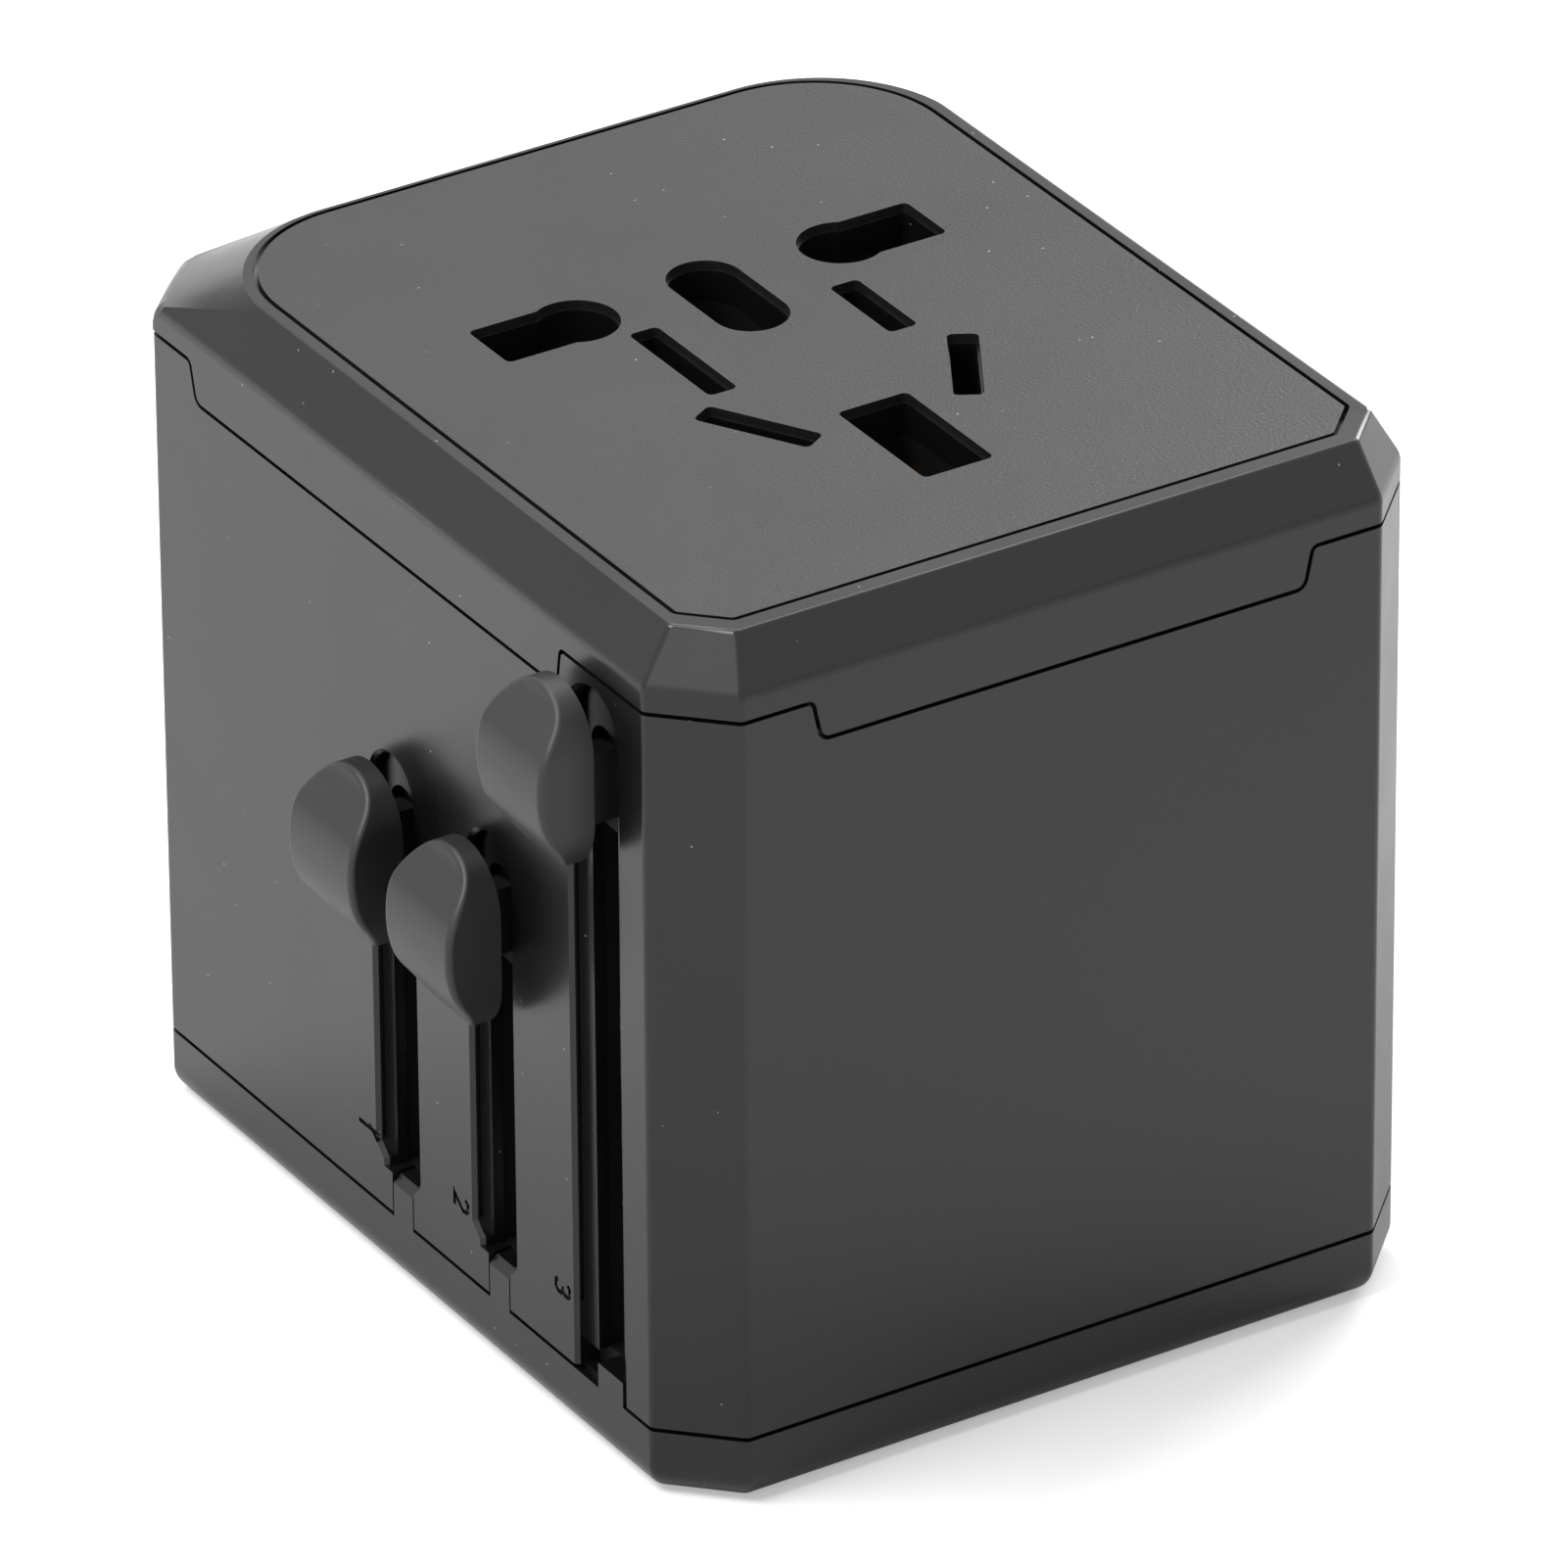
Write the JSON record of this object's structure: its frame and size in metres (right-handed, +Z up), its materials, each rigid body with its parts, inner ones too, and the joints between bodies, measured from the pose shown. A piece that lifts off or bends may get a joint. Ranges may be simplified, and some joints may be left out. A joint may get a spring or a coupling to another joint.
{
  "type": "travel adapter",
  "caption": "Universal travel adapter: block housing with a mixed mains socket on top, rear charging sockets and plugs that slide out below, each moved by a thumb knob.",
  "frame": {"origin": "middle of the bottom face on which it stands", "axes": "+X across the line and neutral holes with the slider face at -X, -Y is the plain side face, +Y the face with the charging sockets, +Z up to the socket face"},
  "size_m": [0.0559, 0.0622, 0.0562],
  "materials": {
    "shell": "fine satin texture, dark grey",
    "face_plate": "fine matte texture, dark grey",
    "knob_rubber": "soft matte",
    "inner_plastic": "matte black",
    "brass": "bare strip, slightly dull",
    "plated_pin": "nickel plated, fine drawn lines",
    "steel": "zinc plated",
    "board": "green resist",
    "fuse_glass": "clear",
    "ferrite": "matte sintered",
    "copper_winding": "enamelled wire under tape",
    "capacitor": "dark sleeve with bare top",
    "chip": "moulded black",
    "usb_insulator": "moulded white",
    "lamp": "clear red"
  },
  "bodies": {
    "housing": {"base": "shell", "body_shell": "shell", "top_cap": "shell", "socket_plate": "face_plate", "line_contact": "brass", "neutral_contact": "brass", "earth_contact": "brass", "contact_carrier": "inner_plastic", "line_rail": "brass", "neutral_rail": "brass", "earth_rail": "brass", "slider_guide": "inner_plastic", "case_screws": "steel", "carrier_screws": "steel", "converter_board": "board", "fuse_tube": "fuse_glass", "fuse_caps": "plated_pin", "fuse_clips": "steel", "transformer_core": "ferrite", "transformer_winding": "copper_winding", "filter_capacitors": "capacitor", "bridge_chip": "chip", "usb_shells": "steel", "usb_tongues": "usb_insulator", "lamp_lens": "lamp"},
    "uk_slider": {"uk_knob": "knob_rubber", "uk_carriage": "inner_plastic", "uk_line_pin": "plated_pin", "uk_neutral_pin": "plated_pin", "uk_earth_pin": "plated_pin", "uk_earth_strap": "brass"},
    "us_slider": {"us_knob": "knob_rubber", "us_carriage": "inner_plastic"},
    "us_left_blade": {"us_left_blade": "plated_pin"},
    "us_right_blade": {"us_right_blade": "plated_pin"},
    "eu_slider": {"eu_knob": "knob_rubber", "eu_plug": "inner_plastic", "eu_left_pin": "plated_pin", "eu_right_pin": "plated_pin", "eu_pin_sleeves": "inner_plastic"}
  },
  "joints": [
    {"name": "uk_slide", "type": "slide", "parent": "housing", "child": "uk_slider", "axis": [0, 0, -1], "range_m": [0, 0.019]},
    {"name": "us_slide", "type": "slide", "parent": "housing", "child": "us_slider", "axis": [0, 0, -1], "range_m": [0, 0.019]},
    {"name": "us_left_turn", "type": "hinge", "parent": "us_slider", "child": "us_left_blade", "pos_m": [-0.00635, -0.01, 0.02], "axis": [0, 0, 1], "range_deg": [0, 30]},
    {"name": "us_right_turn", "type": "hinge", "parent": "us_slider", "child": "us_right_blade", "pos_m": [0.00635, -0.01, 0.02], "axis": [0, 0, 1], "range_deg": [-30, 0]},
    {"name": "eu_slide", "type": "slide", "parent": "housing", "child": "eu_slider", "axis": [0, 0, -1], "range_m": [0, 0.0345]}
  ]
}
